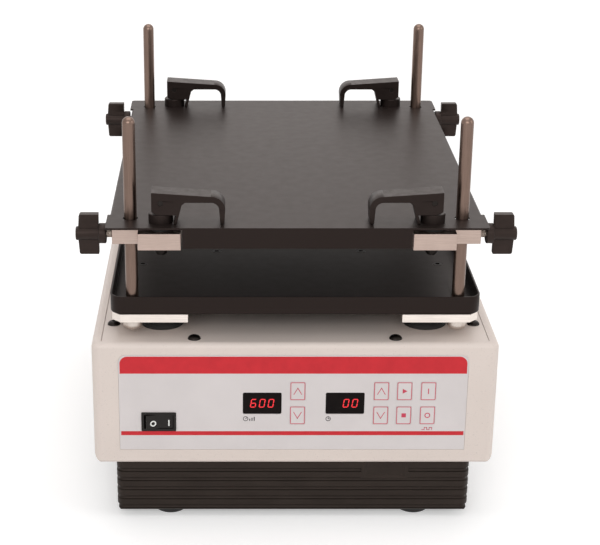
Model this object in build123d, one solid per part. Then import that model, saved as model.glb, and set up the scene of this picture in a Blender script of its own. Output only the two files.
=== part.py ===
from build123d import *
from math import cos, pi, radians, sin, sqrt, tan
import os

os.makedirs("parts", exist_ok=True)

# Bench microplate shaker, millimetres.
# +Z is up, the control panel faces -Y, and the origin is on the bench under the middle.

# Driving dimensions: casing
foot_height = 5.5
foot_diameter = 28.0
foot_tread = 24.4
foot_inset_x = 41.5
foot_inset_y = 18.5
base_inset_x = 16.3
base_inset_y = 5.5
base_height = 44.8
base_wall = 3.0
base_corner = 6.0
base_side_edge = 5.0
base_end_edge = 2.5
base_pad_width = 36.7
base_pad_height = 16.3
base_pad_x = 71.5
base_pad_lip = 2.4
base_pad_recess = 1.0
base_vents = 7
base_vent_length = 46.0
base_vent_width = 4.0
base_vent_pitch = 12.0
rib_count = 5
rib_pitch = 8.0
rib_first_drop = 9.3
rib_groove_radius = 1.7
housing_overhang_x = 14.1
housing_overhang_y = 12.4
housing_height = 100.2
housing_wall = 3.0
housing_roof = 4.0
housing_corner = 6.0
housing_top_edge = 4.5
housing_side_edge = 8.0
housing_end_edge = 2.5
deck_sheet = 2.0
deck_side_margin = 7.8
deck_margin = 5.0
deck_ledge = 13.0
deck_seam = 0.5
case_screw_diameter = 5.0
case_screw_head = 10.0
case_screw_head_height = 2.6
case_screw_length = 9.0
case_screw_socket = 3.0
case_screw_socket_depth = 1.2
side_screw_inset_x = 7.2
side_screw_inset_y = 33.7
end_screw_inset_x = 69.8
end_screw_inset_y = 5.5

# Driving dimensions: control panel
overlay_margin = 21.5
overlay_x = -1.3
overlay_height = 79.0
overlay_sheet = 0.75
overlay_corner = 6.0
overlay_drop = 9.5
panel_clearance = 0.2
display_width = 29.2
display_height = 17.6
display_drop = 39.9
display_x = (-24.6, 38.5)
display_corner = 1.2
key_width = 11.6
key_height = 15.2
key_depth = 1.6
key_proud = 0.1
key_travel = 0.4
key_clearance = 0.15
key_corner = 1.2
key_row_drop = (29.7, 50.0)
key_column_x = (2.4, 65.9, 83.5, 101.6)
switch_x = -103.6
switch_drop = 55.3
switch_width = 26.6
switch_height = 15.6
switch_rim = 0.8
switch_body_width = 24.0
switch_body_height = 13.2
switch_body_depth = 18.0
switch_wall = 0.7
rocker_width = 21.0
rocker_pivot_depth = 4.3
rocker_tilt = 7.4
rocker_dip = 1.2
rocker_end_rise = 5.6
rocker_trunnion = 3.0
rocker_trunnion_reach = 0.4
switch_cavity_depth = 9.7
switch_tab_length = 9.0
switch_tab_width = 6.3
switch_tab_sheet = 0.8
switch_tab_x = 7.0
board_sheet = 1.6
board_setback = 8.5
board_width = 182.0
board_height = 70.0
board_x = 24.0
board_post = 7.0
board_post_inset_x = 6.0
board_post_inset_y = 5.0
connector_width = 9.0
connector_height = 5.0
connector_depth = 8.0
connector_pitch = 14.0
connector_x = -50.0
connector_rise = 24.0
capacitor_diameter = 8.0
capacitor_length = 14.0
capacitor_pitch = 13.0
capacitor_x = 20.0
capacitor_drop = 20.0
chip_side = 18.0
chip_height = 2.2

# Driving dimensions: drive
orbit_radius = 1.5
mechanism_plate = 8.0
mechanism_margin = 23.5
mechanism_drop = 6.0
mechanism_corner = 8.0
mechanism_window_width = 52.0
mechanism_window_depth = 84.0
mechanism_window_x = 66.0
mechanism_window_y = 58.0
boss_rib_length = 24.0
boss_rib_thickness = 4.0
boss_rib_depth = 12.0
boss_rib_start = 8.0
idler_boss_height = 27.0
idler_boss_gap = 1.0
idler_boss_lip = 2.5
crank_boss_height = 35.5
crank_boss_gap = 0.5
crank_boss_lip = 3.0
bearing_shoulder = 1.0
post_diameter = 14.0
post_inset = 13.0
post_row_gap = 46.0
idler_inset_x = 38.2
idler_inset_y = 29.1
idler_shaft = 12.0
idler_bearing_outer = 28.0
idler_bearing_width = 8.0
idler_disc = 22.0
idler_pin = 10.0
idler_collar_step = 2.5
idler_collar_height = 3.8
idler_tail = 4.0
idler_disc_lift = 0.8
idler_disc_gap = 3.0
pin_end_gap = 0.4
boot_outer = 33.6
boot_wall = 2.6
boot_gap = 0.3
crank_shaft_diameter = 17.0
crank_bearing_outer = 40.0
crank_bearing_width = 12.0
crank_head = 30.0
crank_pin = 12.0
crank_head_gap = 2.0
crank_head_lift = 0.2
pulley_holes = 6
pulley_hole_diameter = 16.0
pulley_hole_circle = 54.0
crank_pulley_radius = 45.0
motor_pulley_radius = 15.0
pulley_width = 12.0
pulley_flange = 2.0
pulley_drop = 40.5
belt_thickness = 2.0
belt_width = 7.0
belt_clearance = 0.3
motor_distance = 105.0
motor_diameter = 76.0
motor_height = 77.5
motor_shaft = 8.0
motor_foot = 84.0
motor_foot_corner = 6.0
motor_foot_thickness = 4.0
motor_bolt_spacing = 74.0
motor_bolt_hole = 5.2
motor_shoulder = 4.0
motor_shoulder_height = 6.0
motor_neck = 24.0
motor_neck_height = 3.0
motor_bore_depth = 30.0
motor_shaft_rise = 2.0
motor_shaft_end_gap = 1.0
counterweight_radius = 50.0
counterweight_thickness = 11.0
boss_wall = 5.0
running_clearance = 0.03
seat_clearance = 0.02

supply_width = 60.0
supply_depth = 110.0
supply_height = 34.0
supply_x = -70.0
supply_y = -20.0
supply_slots = 5
supply_slot_pitch = 14.0

# Driving dimensions: tray
deck_to_bar = 12.15
bar_thickness = 6.35
bar_width = 57.6
bar_margin = 1.3
bar_corner_cut = 6.4
cross_plate_depth = 90.0
cross_window_width = 26.0
cross_window_depth = 50.0
cross_window_corner = 6.0
cross_window_x = 36.0
tray_width = 279.4
tray_depth = 330.2
tray_sheet = 1.5
tray_lip = 14.3
tray_corner = 10.0
tray_bearing_outer = 19.0
tray_bearing_width = 5.0
centre_bearing_outer = 24.0
centre_bearing_width = 6.0
rod_diameter = 9.5
rod_inset_x = 16.75
rod_inset_y = 7.4
rod_above_cover = 77.6
rod_screw_head = 15.0
rod_screw_head_height = 7.2
rod_screw_shank = 5.0
rod_screw_length = 12.0
tray_screw_head = 8.0
tray_screw_shank = 4.8
tray_screw_socket = 3.6
tray_screw_socket_depth = 0.7
tray_screw_end_gap = 0.5
tray_screw_inset = 19.7
tray_screw_y = 60.0
cross_screw_x = 60.0
cross_screw_y = 30.0
rod_hole_clearance = 0.1

# Driving dimensions: cover and its clamps
cover_rise = 73.0
cover_overhang_x = 0.8
cover_overhang_y = 15.4
cover_sheet = 1.5
cover_lip_drop = 16.0
cover_corner_width = 56.5
cover_corner_depth = 30.5
cover_side_inset = 1.9
cover_corner = 3.0
cover_bend = 1.4
cover_stud_clearance = 0.2
cover_rod_hole = 11.2
stud_inset = 22.75
stud_outset = 6.8
stud_diameter = 6.0
stud_eye = 9.2
stud_eye_thickness = 7.0
washer_diameter = 18.4
washer_thickness = 4.0
clamp_height = 12.7
clamp_inner_reach = 15.0
clamp_step_reach = 5.95
clamp_outer_reach = 13.75
clamp_front_reach = 13.5
clamp_neck_width = 13.0
clamp_bore_clearance = 0.05
hub_diameter = 18.2
hub_height = 7.0
nut_diameter = 13.0
nut_tip_diameter = 7.0
nut_height = 7.2
lever_width = 17.0
lever_pin_height = 16.3
lever_pin_diameter = 4.0
lever_cam_radius = 9.2
lever_heel = 6.5
lever_top = 24.4
lever_reach = 47.5
lever_slope = 3.0
lever_elbow = 10.5
lever_arm_underside = 16.8
lever_finger = 4.4
lever_tip_gap = 0.4
lever_block = 12.0
lever_leg = 2.5
lever_pin_recess = 0.6
lever_slot_clearance = 0.35
thumb_thread = 6.0
thumb_pitch = 1.0
thumb_start = 4.4
thumb_flange = 15.2
thumb_flange_length = 5.6
thumb_flange_edge = 0.6
thumb_hub = 10.4
thumb_hub_end = 1.6
thumb_hub_edge = 1.0
thumb_wing_length = 15.5
thumb_wing_span = 31.0
thumb_wing_tip = 6.0
thumb_wing_waist = 4.2
thumb_wing_taper = 1.2
thumb_wing_corner = 1.6
thumb_root = 2.0
thumb_clearance = 0.08
pad_length = 3.0
pad_gap = 0.2
pad_end_gap = 0.05
pad_side_clearance = 0.1

# Driving dimensions: mains inlet on the back
inlet_x = 96.0
inlet_z = 88.0
inlet_flange_width = 48.0
inlet_flange_height = 30.0
inlet_flange = 1.8
inlet_body_width = 42.0
inlet_body_height = 25.0
inlet_body_depth = 26.0
inlet_socket_width = 24.0
inlet_socket_height = 16.5
inlet_socket_depth = 17.0
inlet_pin_length = 9.0

# Overall sizes that follow the tray
housing_width = tray_width + 2 * housing_overhang_x
housing_depth = tray_depth + 2 * housing_overhang_y
base_width = housing_width - 2 * base_inset_x
base_depth = housing_depth - 2 * base_inset_y
deck_width = housing_width - 2 * deck_side_margin
deck_depth = housing_depth - 2 * deck_margin
overlay_width = housing_width - 2 * overlay_margin
cover_width = tray_width + 2 * cover_overhang_x
cover_depth = tray_depth + 2 * cover_overhang_y
cover_front_lip = cover_width - 2 * cover_corner_width
cover_side_lip = cover_depth - 2 * cover_corner_depth

# Heights above the bench
base_bottom = foot_height
housing_bottom = base_bottom + base_height
deck_top = housing_bottom + housing_height
deck_bottom = deck_top - deck_sheet
bar_bottom = deck_top + deck_to_bar
tray_bottom = bar_bottom + bar_thickness
tray_floor = tray_bottom + tray_sheet
cover_top = tray_floor + cover_rise
cover_bottom = cover_top - cover_sheet
clamp_top = cover_bottom - washer_thickness
clamp_bottom = clamp_top - clamp_height
clamp_middle = clamp_bottom + clamp_height / 2
pan_floor = base_bottom + base_wall
front_face = -housing_depth / 2
overlay_middle = deck_top - overlay_drop - overlay_height / 2
mechanism_top = deck_bottom - mechanism_drop
mechanism_bottom = mechanism_top - mechanism_plate

# Places that several pieces share
rod_x = tray_width / 2 - rod_inset_x
rod_y = tray_depth / 2 - rod_inset_y
idler_x = tray_width / 2 - idler_inset_x
idler_y = tray_depth / 2 - idler_inset_y
bar_outer_x = tray_width / 2 - bar_margin
bar_inner_x = bar_outer_x - bar_width
stud_x = rod_x - stud_inset
stud_y = rod_y + stud_outset
clamp_outer_x = rod_x + clamp_outer_reach
clamp_step_x = rod_x - clamp_step_reach
clamp_inner_x = stud_x - clamp_inner_reach
clamp_front_y = stud_y + clamp_front_reach
clamp_neck_front_y = rod_y + clamp_neck_width / 2
clamp_back_y = rod_y - clamp_neck_width / 2
crank_y = orbit_radius
quarters = [(-1, -1), (1, -1), (-1, 1), (1, 1)]
corner_names = {(-1, -1): "front_left", (1, -1): "front_right", (-1, 1): "back_left", (1, 1): "back_right"}
UP = (Align.CENTER, Align.CENTER, Align.MIN)
through = 1.0


def post(radius, bottom, top, x=0.0, y=0.0):
    """An upright round bar between two heights."""
    return Pos(x, y, bottom) * Cylinder(radius, top - bottom, align=UP)


def slab(width, depth, bottom, top, x=0.0, y=0.0):
    """An upright block between two heights."""
    return Pos(x, y, bottom) * Box(width, depth, top - bottom, align=UP)


def rounded_slab(width, depth, corner, bottom, top, x=0.0, y=0.0):
    """A block with round upright edges."""
    return Pos(x, y, bottom) * extrude(RectangleRounded(width, depth, corner), top - bottom)


def ring(inner, outer, bottom, top, x=0.0, y=0.0):
    """A plain bearing or washer."""
    return post(outer, bottom, top, x, y) - post(inner, bottom - 1, top + 1, x, y)


def panel_block(width, height, front, back, x, z, corner=0.0):
    """A block seen face on from the front, between two depths."""
    face = RectangleRounded(width, height, corner) if corner else Rectangle(width, height)
    return Pos(x, back, z) * (Plane.XZ * extrude(face, back - front))


def low_rounded_block(width, depth, bottom, top, side_edge, end_edge=0.0):
    """A block whose lower edges are round along its sides, and along its ends too if asked."""
    height = top - bottom
    across = Pos(0, height / 2) * Rectangle(width, height)
    across = fillet(across.vertices().group_by(Axis.Y)[0], side_edge)
    block = Pos(0, depth / 2, bottom) * (Plane.XZ * extrude(across, depth))
    if end_edge:
        along = Pos(0, height / 2) * Rectangle(depth, height)
        along = fillet(along.vertices().group_by(Axis.Y)[0], end_edge)
        block = block & (Pos(-width / 2, 0, bottom) * (Plane.YZ * extrude(along, width)))
    return block


def overlay_block(margin, front, back):
    """The panel film's outline, rounded at its two upper corners, between two depths."""
    width = overlay_width + 2 * margin
    height = overlay_height + 2 * margin
    block = panel_block(width, height, front, back, overlay_x, overlay_middle, overlay_corner)
    return block + panel_block(width, height / 2, front, back, overlay_x, overlay_middle - height / 4)


def bar_x(radius, start, end, y, z):
    """A round bar along X, from one place to the next."""
    return Pos(min(start, end), y, z) * (Plane.YZ * extrude(Circle(radius), abs(end - start)))


def group(shapes):
    """Separate like solids that share a node."""
    return Compound(children=[s for shape in shapes for s in shape.solids()])


def save(shape, name):
    """Write one node."""
    shape.label = name
    export_step(shape, f"parts/{name}.step")


def make_feet():
    """Four rubber feet under the base pan, a little narrower at the tread."""
    rim = foot_diameter / 2
    tread = foot_tread / 2
    middle = ((rim + tread) / 2 + (rim - tread) * 0.2, foot_height * 0.3)
    outline = make_face([
        Line((0, 0), (tread, 0)),
        ThreePointArc((tread, 0), middle, (rim, foot_height)),
        Line((rim, foot_height), (0, foot_height)),
        Line((0, foot_height), (0, 0)),
    ])
    foot = revolve(Plane.XZ * outline, Axis.Z)
    x = base_width / 2 - foot_inset_x
    y = base_depth / 2 - foot_inset_y
    return group(Pos(sx * x, sy * y, 0) * foot for sx, sy in quarters)


def make_base_pan():
    """A black moulded tub with rounded ribs all round its wall."""
    pan = rounded_slab(base_width, base_depth, base_corner, base_bottom, housing_bottom)
    pan = pan & low_rounded_block(base_width, base_depth, base_bottom, housing_bottom, base_side_edge, base_end_edge)
    groove_path = RectangleRounded(base_width, base_depth, base_corner).wire()
    for k in range(rib_count):
        level = housing_bottom - rib_first_drop - k * rib_pitch
        if level - rib_groove_radius > base_bottom + base_wall / 2:
            start = Plane(origin=(0, -base_depth / 2, level), x_dir=(0, 1, 0), z_dir=(1, 0, 0))
            pan -= sweep(start * Circle(rib_groove_radius), path=Pos(0, 0, level) * groove_path)
    inner_corner = base_corner - base_wall / 2
    pan -= rounded_slab(base_width - 2 * base_wall, base_depth - 2 * base_wall, inner_corner, pan_floor,
                        housing_bottom + through)
    pad_face = -base_depth / 2
    pad_z = housing_bottom - base_pad_height / 2
    pan += panel_block(base_pad_width, base_pad_height, pad_face, pad_face + base_wall, base_pad_x, pad_z)
    recess = Plane(origin=(base_pad_x, pad_face, pad_z), x_dir=(1, 0, 0), z_dir=(0, 1, 0))
    mouth = recess * Rectangle(base_pad_width - 2 * base_pad_lip, base_pad_height - base_pad_lip)
    bottom = recess.offset(base_pad_recess) * Rectangle(base_pad_width - 4 * base_pad_lip,
                                                        base_pad_height - 2 * base_pad_lip)
    pan -= loft([mouth, bottom])
    vent = extrude(SlotOverall(base_vent_length, base_vent_width), base_wall + 2 * through)
    for k in range(base_vents):
        pan -= Pos(0, (k - (base_vents - 1) / 2) * base_vent_pitch, base_bottom - through) * vent
    return pan


def make_housing_shell():
    """The pale sheet steel casing: four walls, a bottom flange and a ledge for the top deck."""
    shell = slab(housing_width, housing_depth, housing_bottom, deck_top)
    shell = fillet(shell.edges().filter_by(Axis.Z), housing_corner)
    shell = fillet(shell.faces().sort_by(Axis.Z)[-1].edges(), housing_top_edge)
    shell = shell & low_rounded_block(housing_width, housing_depth, housing_bottom, deck_top, housing_side_edge,
                                      housing_end_edge)
    inner_width = housing_width - 2 * housing_wall
    inner_depth = housing_depth - 2 * housing_wall
    room = rounded_slab(inner_width, inner_depth, housing_corner - housing_wall, housing_bottom + housing_wall,
                        deck_top - housing_roof)
    shell -= room & low_rounded_block(inner_width, inner_depth, housing_bottom + housing_wall, deck_top,
                                      housing_side_edge - housing_wall)
    shell -= slab(base_width - 4 * base_wall, base_depth - 4 * base_wall, housing_bottom - 1,
                  housing_bottom + housing_wall + 1)
    shell -= slab(deck_width + 2 * deck_seam, deck_depth, deck_bottom, deck_top + 1)
    shell -= slab(deck_width - 2 * deck_ledge, deck_depth - 2 * deck_ledge,
                  deck_top - housing_roof - 1, deck_top + 1)
    for x, y in case_screw_places():
        shell -= post(case_screw_diameter / 2 + rod_hole_clearance, deck_top - housing_roof - 1, deck_top, x, y)
    shell -= overlay_block(panel_clearance, front_face - through, front_face + overlay_sheet)
    for x in display_x:
        shell -= panel_block(display_width + 2 * panel_clearance, display_height + 2 * panel_clearance,
                             front_face - 1, front_face + housing_wall + 1, x, display_z(), display_corner)
    pocket_depth = key_depth - key_proud + key_travel + 0.2
    for x, z in key_places():
        shell -= panel_block(key_width + 2 * key_clearance, key_height + 2 * key_clearance, front_face - 1,
                             front_face + pocket_depth, x, z, key_corner)
    shell -= panel_block(switch_body_width + 2 * panel_clearance, switch_body_height + 2 * panel_clearance,
                         front_face - 1, front_face + housing_wall + 1, switch_x, switch_z())
    back_face = housing_depth / 2
    shell -= panel_block(inlet_body_width + 2 * panel_clearance, inlet_body_height + 2 * panel_clearance,
                         back_face - housing_wall - 1, back_face + 1, inlet_x, inlet_z)
    for sx in (-1, 1):
        for sz in (-1, 1):
            x = board_x + sx * (board_width / 2 - board_post_inset_x)
            z = overlay_middle + sz * (board_height / 2 - board_post_inset_y)
            shell += panel_block(board_post, board_post, front_face + housing_wall,
                                 front_face + housing_wall + board_setback, x, z, board_post / 4)
    return shell


def case_screw_places():
    """Where the deck is screwed down: near each side and near the front and back edges."""
    side = (deck_width / 2 - side_screw_inset_x, deck_depth / 2 - side_screw_inset_y)
    end = (deck_width / 2 - end_screw_inset_x, deck_depth / 2 - end_screw_inset_y)
    return [(sx * x, sy * y) for x, y in (side, end) for sx, sy in quarters]


def key_places():
    """Middle of each key, column by column."""
    return [(x, deck_top - overlay_drop - drop) for x in key_column_x for drop in key_row_drop]


def switch_z():
    """Height of the middle of the rocker switch."""
    return deck_top - overlay_drop - switch_drop


def display_z():
    """Height of the middle of both displays."""
    return deck_top - overlay_drop - display_drop


def make_top_deck():
    """The flat steel deck that closes the casing, with holes for the cranks below the tray."""
    deck = slab(deck_width, deck_depth, deck_bottom, deck_top)
    for x, y in case_screw_places():
        deck -= post(case_screw_diameter / 2 + rod_hole_clearance, deck_bottom - 1, deck_top + 1, x, y)
    for sx, sy in quarters:
        deck -= post(idler_shaft / 2 + 2.0, deck_bottom - 1, deck_top + 1, sx * idler_x, sy * idler_y + crank_y)
    deck -= post(crank_head / 2 + 3.0, deck_bottom - 1, deck_top + 1, 0, crank_y)
    return deck


def make_case_screws():
    """Eight black button-head screws."""
    head_radius = case_screw_head / 2
    height = case_screw_head_height
    socket = case_screw_socket / 2
    socket_floor = height - case_screw_socket_depth
    outline = make_face([
        Line((0, 0), (head_radius, 0)),
        ThreePointArc((head_radius, 0), (head_radius * 0.74, height * 0.72), (socket, height)),
        Line((socket, height), (socket, socket_floor)),
        Line((socket, socket_floor), (0, socket_floor)),
        Line((0, socket_floor), (0, 0)),
    ])
    head = revolve(Plane.XZ * outline, Axis.Z)
    screw = Pos(0, 0, deck_top) * head + post(case_screw_diameter / 2, deck_top - case_screw_length, deck_top)
    return group(Pos(x, y, 0) * screw for x, y in case_screw_places())


def make_panel_overlay():
    """The thin front film, with windows for the displays, keys and switch."""
    film = overlay_block(0.0, front_face, front_face + overlay_sheet)
    for x in display_x:
        film -= panel_block(display_width + 2 * panel_clearance, display_height + 2 * panel_clearance,
                            front_face - 1, front_face + 2, x, display_z(), display_corner)
    for x, z in key_places():
        film -= panel_block(key_width + 2 * key_clearance, key_height + 2 * key_clearance, front_face - 1,
                            front_face + 2, x, z, key_corner)
    film -= panel_block(switch_body_width + 2 * panel_clearance, switch_body_height + 2 * panel_clearance,
                        front_face - 1, front_face + 2, switch_x, switch_z())
    return film


def make_displays():
    """Two numeral displays with smoked windows, standing on the control board."""
    modules = []
    for x in display_x:
        module = panel_block(display_width, display_height, front_face + panel_clearance,
                             front_face + housing_wall + board_setback, x, display_z(),
                             display_corner)
        modules.append(module)
    return group(modules)


def make_control_board():
    """The circuit board behind the panel, with its connectors and capacitors."""
    face = front_face + housing_wall + board_setback
    back = face + board_sheet
    board = panel_block(board_width, board_height, face, back, board_x, overlay_middle)
    for k in range(3):
        board += panel_block(connector_width, connector_height, back, back + connector_depth,
                             board_x + connector_x + k * connector_pitch, overlay_middle + connector_rise)
    for k in range(4):
        can = Plane(origin=(board_x + capacitor_x + k * capacitor_pitch, back, overlay_middle - capacitor_drop),
                    x_dir=(1, 0, 0), z_dir=(0, 1, 0)) * Circle(capacitor_diameter / 2)
        board += extrude(can, capacitor_length)
    board += panel_block(chip_side, chip_side, back, back + chip_height, board_x, overlay_middle)
    return board


def make_key():
    """One membrane key, drawn at the panel's middle height and x = 0."""
    back = front_face - key_proud + key_depth
    return panel_block(key_width, key_height, front_face - key_proud, back, 0, 0, key_corner)


def make_switch_bezel():
    """The mains switch's snap-in frame and body, with bores for the rocker's trunnions."""
    z = switch_z()
    rim_front = front_face - switch_rim
    back = front_face + switch_body_depth
    frame = panel_block(switch_width, switch_height, rim_front, front_face, switch_x, z, switch_rim)
    frame += panel_block(switch_body_width, switch_body_height, front_face, back, switch_x, z)
    frame -= panel_block(switch_body_width - 2 * switch_wall, switch_body_height - 2 * switch_wall,
                         rim_front - through, front_face + switch_cavity_depth, switch_x, z)
    bore = rocker_trunnion / 2 + clamp_bore_clearance
    reach = rocker_half_height() + panel_clearance + rocker_trunnion_reach + clamp_bore_clearance
    frame -= post(bore, z - reach, z + reach, switch_x, front_face + rocker_pivot_depth)
    for k in (-1, 1):
        frame += panel_block(switch_tab_sheet, switch_tab_width, back, back + switch_tab_length,
                             switch_x + k * switch_tab_x, z)
    return frame


def rocker_half_height():
    """Half of the rocker's height between the walls of its frame."""
    return switch_body_height / 2 - switch_wall - panel_clearance


def make_rocker():
    """The switch's rocker, pressed down on its right-hand side."""
    half = rocker_width / 2
    reach = rocker_half_height() + panel_clearance + rocker_trunnion_reach
    outline = make_face(Polyline(
        (-half, -rocker_end_rise), (0, rocker_dip - rocker_end_rise), (half, -rocker_end_rise),
        (half, -1.5), (3.0, 3.0), (-3.0, 3.0), (-half, -1.5), close=True))
    body = extrude(outline, rocker_half_height(), both=True)
    body = fillet(body.edges().filter_by(Axis.Z).sort_by(Axis.Y)[0:2], 0.5)
    body += post(rocker_trunnion / 2, -reach, reach)
    return Pos(switch_x, front_face + rocker_pivot_depth, switch_z()) * Rot(0, 0, rocker_tilt) * body


def make_power_inlet():
    """The three-pin mains inlet in the back wall."""
    back_face = housing_depth / 2
    inlet = panel_block(inlet_flange_width, inlet_flange_height, back_face, back_face + inlet_flange, inlet_x,
                        inlet_z, 3.0)
    inlet += panel_block(inlet_body_width, inlet_body_height, back_face - inlet_body_depth, back_face, inlet_x,
                         inlet_z)
    mouth = back_face + inlet_flange
    socket_bottom = mouth - inlet_socket_depth
    inlet -= panel_block(inlet_socket_width, inlet_socket_height, socket_bottom, mouth + 1, inlet_x - 6.0, inlet_z,
                         2.5)
    for dx, dz in ((-7.0, -2.0), (0.0, 2.0), (7.0, -2.0)):
        inlet += panel_block(2.0, 4.0, socket_bottom, socket_bottom + inlet_pin_length, inlet_x - 6.0 + dx,
                             inlet_z + dz)
    fuse_x = inlet_x + inlet_socket_width / 2
    inlet -= panel_block(5.4, 16.0, mouth - 1.0, mouth + 1, fuse_x + 2.0, inlet_z, 1.0)
    inlet += panel_block(4.6, 15.0, mouth - 1.0, mouth + 0.6, fuse_x + 2.0, inlet_z, 1.0)
    return inlet


def make_power_supply():
    """A closed power supply with cooling slots, on the floor of the base pan."""
    top = pan_floor + supply_height
    body = rounded_slab(supply_width, supply_depth, 2.0, pan_floor, top, supply_x, supply_y)
    slot_depth = 3.0
    for k in range(supply_slots):
        y = supply_y + (k - (supply_slots - 1) / 2) * supply_slot_pitch
        body -= slab(supply_width - 16.0, 3.0, top - slot_depth, top + 1, supply_x, y)
    terminal_depth = 8.0
    terminal_y = supply_y + (supply_depth + terminal_depth) / 2
    body += slab(supply_width - 20.0, terminal_depth, pan_floor, pan_floor + supply_height / 2, supply_x, terminal_y)
    return body


def pulley_levels():
    """Lowest and highest height of both belt pulleys."""
    top = deck_bottom - pulley_drop
    return top - pulley_width, top


def make_pulley(radius, bore, x, y):
    """A flanged belt pulley."""
    low, high = pulley_levels()
    wheel = post(radius, low, high, x, y)
    wheel += post(radius + belt_thickness, low, low + pulley_flange, x, y)
    wheel += post(radius + belt_thickness, high - pulley_flange, high, x, y)
    return wheel - post(bore, low - 1, high + 1, x, y)


def belt_loop(offset):
    """Outline of a belt around both pulleys, that far outside their rims."""
    wheels = Pos(0, crank_y) * Circle(crank_pulley_radius + offset)
    wheels += Pos(0, crank_y + motor_distance) * Circle(motor_pulley_radius + offset)
    return make_hull(wheels.edges())


def make_drive_belt():
    """The flat belt from the motor to the crank pulley."""
    low, high = pulley_levels()
    bottom = (low + high - belt_width) / 2
    band = belt_loop(belt_clearance + belt_thickness) - belt_loop(belt_clearance)
    return Pos(0, 0, bottom) * extrude(band, belt_width)


def make_motor():
    """The drive motor, standing on the floor of the base pan."""
    y = crank_y + motor_distance
    top = pan_floor + motor_height
    foot_top = pan_floor + motor_foot_thickness
    motor = post(motor_diameter / 2, foot_top, top - motor_shoulder_height, 0, y)
    motor += post(motor_diameter / 2 - motor_shoulder, foot_top, top, 0, y)
    motor += rounded_slab(motor_foot, motor_foot, motor_foot_corner, pan_floor, foot_top, 0, y)
    motor += post(motor_neck / 2, top, top + motor_neck_height, 0, y)
    for sx, sy in quarters:
        motor -= post(motor_bolt_hole / 2, pan_floor - through, foot_top + through, sx * motor_bolt_spacing / 2,
                      y + sy * motor_bolt_spacing / 2)
    return motor - post(motor_shaft / 2 + running_clearance, top - motor_bore_depth, top + motor_neck_height + through,
                        0, y)


def make_motor_pulley():
    """The small pulley and the motor shaft that it is fixed to."""
    y = crank_y + motor_distance
    low, high = pulley_levels()
    top = pan_floor + motor_height
    shaft = post(motor_shaft / 2, top - motor_bore_depth + motor_shaft_end_gap, high + motor_shaft_rise, 0, y)
    wheel = make_pulley(motor_pulley_radius, motor_shaft / 2 - seat_clearance, 0, y)
    return wheel + shaft


def make_mechanism_plate():
    """The cast plate that carries the crank's bearing boss and the four idler bosses."""
    low = mechanism_bottom
    width = 2 * (idler_x + mechanism_margin)
    depth = 2 * (idler_y + mechanism_margin)
    plate = rounded_slab(width, depth, mechanism_corner, low, mechanism_top)
    for sx, sy in quarters:
        plate -= rounded_slab(mechanism_window_width, mechanism_window_depth, mechanism_corner, low - through,
                              mechanism_top + through, sx * mechanism_window_x, sy * mechanism_window_y)
    idler_top = deck_bottom - idler_boss_gap
    boss = idler_bearing_outer / 2 + boss_wall
    seat = idler_bearing_outer / 2 + seat_clearance
    lower, upper = idler_bearing_levels()
    for sx, sy in quarters:
        x = sx * idler_x
        y = sy * idler_y + crank_y
        plate += post(boss, idler_boss_bottom(), idler_top, x, y)
        plate -= post(idler_bearing_outer / 2 - idler_boss_lip, idler_boss_bottom() - through, idler_top + through, x, y)
        plate -= post(seat, idler_boss_bottom() - through, lower + idler_bearing_width, x, y)
        plate -= post(seat, upper, idler_top + through, x, y)
    crank_boss = crank_bearing_outer / 2 + boss_wall
    crank_top = deck_bottom - crank_boss_gap
    seat = crank_bearing_outer / 2 + seat_clearance
    lower, upper = crank_bearing_levels()
    plate += post(crank_boss, crank_boss_bottom(), crank_top, 0, crank_y)
    plate -= post(crank_bearing_outer / 2 - crank_boss_lip, crank_boss_bottom() - through, crank_top + through, 0,
                  crank_y)
    plate -= post(seat, crank_boss_bottom() - through, lower + crank_bearing_width, 0, crank_y)
    plate -= post(seat, upper, crank_top + through, 0, crank_y)
    for angle in range(30, 390, 60):
        rib = slab(boss_rib_length, boss_rib_thickness, low - boss_rib_depth, low, crank_boss + boss_rib_start)
        plate += Pos(0, crank_y, 0) * Rot(0, 0, angle) * rib
    return plate


def idler_boss_bottom():
    """Lower end of each idler bearing boss."""
    return deck_bottom - idler_boss_gap - idler_boss_height


def idler_bearing_levels():
    """Lower faces of the two bearings of an idler."""
    top = deck_bottom - idler_boss_gap - bearing_shoulder
    return idler_boss_bottom() + bearing_shoulder, top - idler_bearing_width


def crank_boss_bottom():
    """Lower end of the crank bearing boss."""
    return deck_bottom - crank_boss_gap - crank_boss_height


def crank_bearing_levels():
    """Lower faces of the crank's two bearings."""
    top = deck_bottom - crank_boss_gap - bearing_shoulder
    return crank_boss_bottom() + bearing_shoulder, top - crank_bearing_width


def make_plate_posts():
    """Six posts that carry the mechanism plate above the base pan."""
    x = idler_x + mechanism_margin - post_inset
    y = idler_y - post_row_gap
    return group(post(post_diameter / 2, pan_floor, mechanism_bottom, sx * x, k * y)
                 for sx in (-1, 1) for k in (-1, 0, 1))


def make_shaft_bearings():
    """The bearings of the crank and the four idlers."""
    rings = []
    inner = crank_shaft_diameter / 2 + running_clearance
    for low in crank_bearing_levels():
        rings.append(ring(inner, crank_bearing_outer / 2, low, low + crank_bearing_width, 0, crank_y))
    inner = idler_shaft / 2 + running_clearance
    for sx, sy in quarters:
        for low in idler_bearing_levels():
            rings.append(ring(inner, idler_bearing_outer / 2, low, low + idler_bearing_width, sx * idler_x,
                              sy * idler_y + crank_y))
    return group(rings)


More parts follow.
